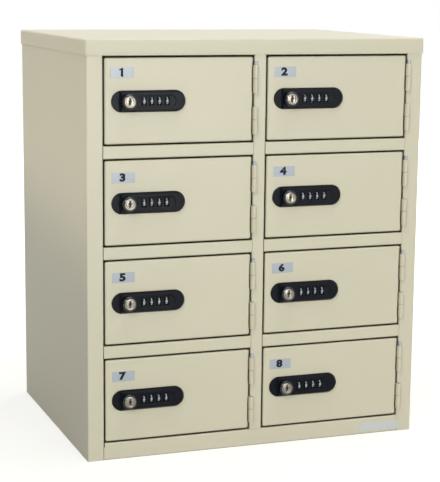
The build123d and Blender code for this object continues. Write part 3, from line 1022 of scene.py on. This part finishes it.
def seen_rays(tree, rays):
    """1 for the rays that show the surroundings: straight, mirrored or through glass."""
    bare_rays = add_node(tree, "ShaderNodeMath", {"operation": "MAXIMUM"},
                         {0: rays.outputs["Is Camera Ray"],
                          1: rays.outputs["Is Glossy Ray"]})
    all_rays = add_node(tree, "ShaderNodeMath", {"operation": "MAXIMUM"},
                        {0: bare_rays.outputs["Value"],
                         1: rays.outputs["Is Transmission Ray"]})
    return all_rays.outputs["Value"]


bm = bmesh.new()
bmesh.ops.create_grid(bm, x_segments=1, y_segments=1, size=FLOOR_HALF)
floor_mesh = bpy.data.meshes.new("floor")
bm.to_mesh(floor_mesh)
bm.free()
floor = bpy.data.objects.new("floor", floor_mesh)
scene.collection.objects.link(floor)

# A matt white sweep of painted board, lifted to white where it is seen.
backdrop = bpy.data.materials.new("white_sweep")
backdrop.use_nodes = True
tree = backdrop.node_tree
tree.nodes.clear()
place = add_node(tree, "ShaderNodeTexCoord").outputs["Object"]
reach = add_node(tree, "ShaderNodeVectorMath", {"operation": "LENGTH"}, {0: place})
glow = add_node(tree, "ShaderNodeMapRange",
                {"From Min": LIFT_NEAR, "From Max": LIFT_FAR, "To Min": 0.7, "To Max": 1.0},
                {"Value": reach.outputs["Value"]})
matt = add_node(tree, "ShaderNodeBsdfDiffuse", {"Color": paint("#b0afa6")})
lift = add_node(tree, "ShaderNodeEmission", {"Color": paint("#ffffff")},
                {"Strength": glow.outputs["Result"]})
both = add_node(tree, "ShaderNodeAddShader", {},
                {0: matt.outputs["BSDF"], 1: lift.outputs["Emission"]})
pick = add_node(tree, "ShaderNodeMixShader", {},
                {0: seen_rays(tree, add_node(tree, "ShaderNodeLightPath")),
                 1: matt.outputs["BSDF"], 2: both.outputs["Shader"]})
add_node(tree, "ShaderNodeOutputMaterial", {}, {"Surface": pick.outputs["Shader"]})
floor_mesh.materials.append(backdrop)
print("floor", 2 * FLOOR_HALF, "m wide")

# %% [markdown]
# ## Lamps
# Large soft lamps light such a product at a plain level. The key lamp stands high on the
# left, the front lamp is low and fills under the locks, and the overhead lamp lights the
# lid. A weak lamp with a grid warms the upper part of the left side only. The rear lamp
# keeps the back and the right side from going dark.

# %% Lamps
MIDDLE = (0.0, 0.0, 0.25)
LEFT_SIDE = (-0.21, 0.0, 0.58)


def add_lamp(name, place, aim, size, power, colour="#ffffff", spread=180.0):
    """A square soft lamp; a small spread acts like a grid in front of it."""
    light = bpy.data.lights.new(name, "AREA")
    light.size = size
    light.energy = power
    light.color = paint(colour)[:3]
    light.spread = math.radians(spread)
    lamp = bpy.data.objects.new(name, light)
    scene.collection.objects.link(lamp)
    lamp.location = place
    lamp.rotation_euler = (Vector(aim) - Vector(place)).to_track_quat("-Z", "Y").to_euler()
    print("lamp", name, power, "W")


add_lamp("key", (-3.2, -4.1, 3.3), MIDDLE, 1.4, 100.0)
add_lamp("front", (0.8, -4.2, 0.52), MIDDLE, 1.0, 72.0)
add_lamp("overhead", (0.1, -0.3, 2.8), MIDDLE, 2.0, 45.0)
add_lamp("left_grid", (-1.9, 0.5, 0.93), LEFT_SIDE, 0.6, 0.32, "#fff6dc", 6.0)
add_lamp("rear", (2.8, 2.6, 0.7), MIDDLE, 1.6, 110.0)

# %% [markdown]
# ## World
# The world gives the object only a faint fill. Straight on it is white. Mirrored in the
# metal and the black plastic it is white too, apart from the low part in front of the
# box, where the dark room behind the camera is. So the locks stay black and the key faces
# get a dark side.

# %% World
world = bpy.data.worlds.new("studio")
world.use_nodes = True
scene.world = world
tree = world.node_tree
tree.nodes.clear()
# The direction of a ray: dark where it goes low to the front, bright to the back and up.
way = add_node(tree, "ShaderNodeTexCoord").outputs["Generated"]
parts = add_node(tree, "ShaderNodeSeparateXYZ", {}, {0: way})
beside = add_node(tree, "ShaderNodeMapRange",
                  {"From Min": -0.85, "From Max": -0.25, "To Min": 0.1, "To Max": 1.0},
                  {"Value": parts.outputs["Y"]})
above = add_node(tree, "ShaderNodeMapRange",
                 {"From Min": 0.1, "From Max": 0.5, "To Min": 0.1, "To Max": 1.0},
                 {"Value": parts.outputs["Z"]})
rays = add_node(tree, "ShaderNodeLightPath")
room = add_node(tree, "ShaderNodeMath", {"operation": "MAXIMUM"},
                {0: beside.outputs["Result"], 1: above.outputs["Result"]})
strength = add_node(tree, "ShaderNodeMath", {"operation": "MAXIMUM"},
                    {0: rays.outputs["Is Camera Ray"], 1: room.outputs["Value"]})
white = add_node(tree, "ShaderNodeBackground", {"Color": paint("#ffffff")},
                 {"Strength": strength.outputs["Value"]})
faint = add_node(tree, "ShaderNodeBackground",
                 {"Color": paint("#f6f4ee"), "Strength": 0.04})
pick = add_node(tree, "ShaderNodeMixShader", {},
                {0: seen_rays(tree, rays), 1: faint.outputs["Background"],
                 2: white.outputs["Background"]})
add_node(tree, "ShaderNodeOutputWorld", {}, {"Surface": pick.outputs["Shader"]})
scene.view_settings.view_transform = "Standard"
print("view transform", scene.view_settings.view_transform)

# %% [markdown]
# ## Finish
# The last cell brings every piece's place up to date and hands the scene over.

# %% Finish
bpy.context.view_layer.update()
